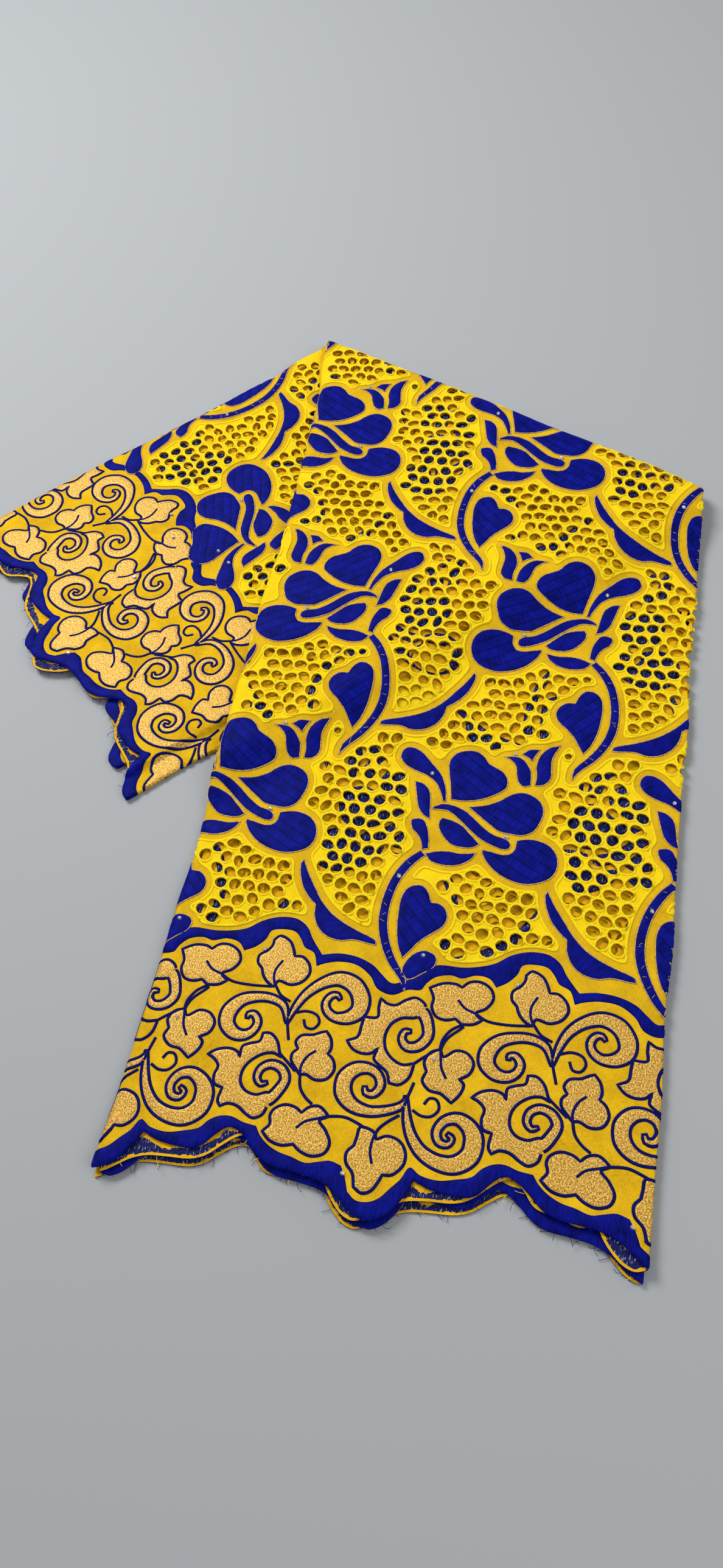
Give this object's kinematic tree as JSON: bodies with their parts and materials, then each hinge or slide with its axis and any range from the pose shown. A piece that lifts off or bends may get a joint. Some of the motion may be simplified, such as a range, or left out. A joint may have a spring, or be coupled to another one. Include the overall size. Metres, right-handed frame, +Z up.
{
  "type": "folded guipure lace fabric",
  "caption": "Length of guipure lace with scalloped selvages, an eyelet net and satin flowers, folded into a flat band that turns over a slanted ridge.",
  "frame": {"origin": "middle of the folded lace's footprint, on the surface it lies on", "axes": "+Z up from the surface, +Y along the folded piece's long way towards the ridge, +X towards the side fold on the right"},
  "size_m": [0.6688, 0.8877, 0.0192],
  "materials": {
    "yellow_cotton": "matte",
    "blue_satin_stitch": "satin",
    "gold_metallic_thread": "metallic",
    "rhinestone": "polished"
  },
  "bodies": {
    "root": {"lace_cloth": "yellow_cotton"}
  },
  "joints": []
}
